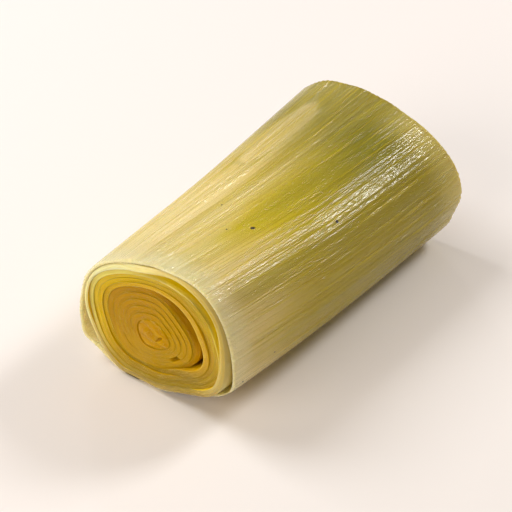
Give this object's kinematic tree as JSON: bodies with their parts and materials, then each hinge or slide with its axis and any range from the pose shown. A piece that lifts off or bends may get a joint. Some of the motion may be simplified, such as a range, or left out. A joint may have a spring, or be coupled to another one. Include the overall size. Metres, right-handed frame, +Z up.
{
  "type": "cooked leek piece",
  "caption": "Cut length of cooked leek shaft lying on its side, a nest of oval leaf sheaths round a small heart, pale at one cut end and green at the other.",
  "frame": {"origin": "on the surface it lies on, under the middle of its box", "axes": "+X along the shaft from the pale cut end to the green cut end, +Z up as it lies, +Y to the left looking along +X"},
  "size_m": [0.0738, 0.0404, 0.0318],
  "materials": {
    "skin": "wet, soft cooked leaf, cream to olive along its length",
    "pale_leaf": "wet, translucent pale leaf",
    "core": "wet, translucent amber leaf"
  },
  "bodies": {
    "root": {"sheath_01": "skin", "sheath_02": "pale_leaf", "sheath_03": "pale_leaf", "sheath_04": "pale_leaf", "sheath_05": "pale_leaf", "sheath_06": "pale_leaf", "sheath_07": "core", "sheath_08": "core", "sheath_09": "core", "sheath_10": "core", "sheath_11": "core", "heart": "core"}
  },
  "joints": []
}
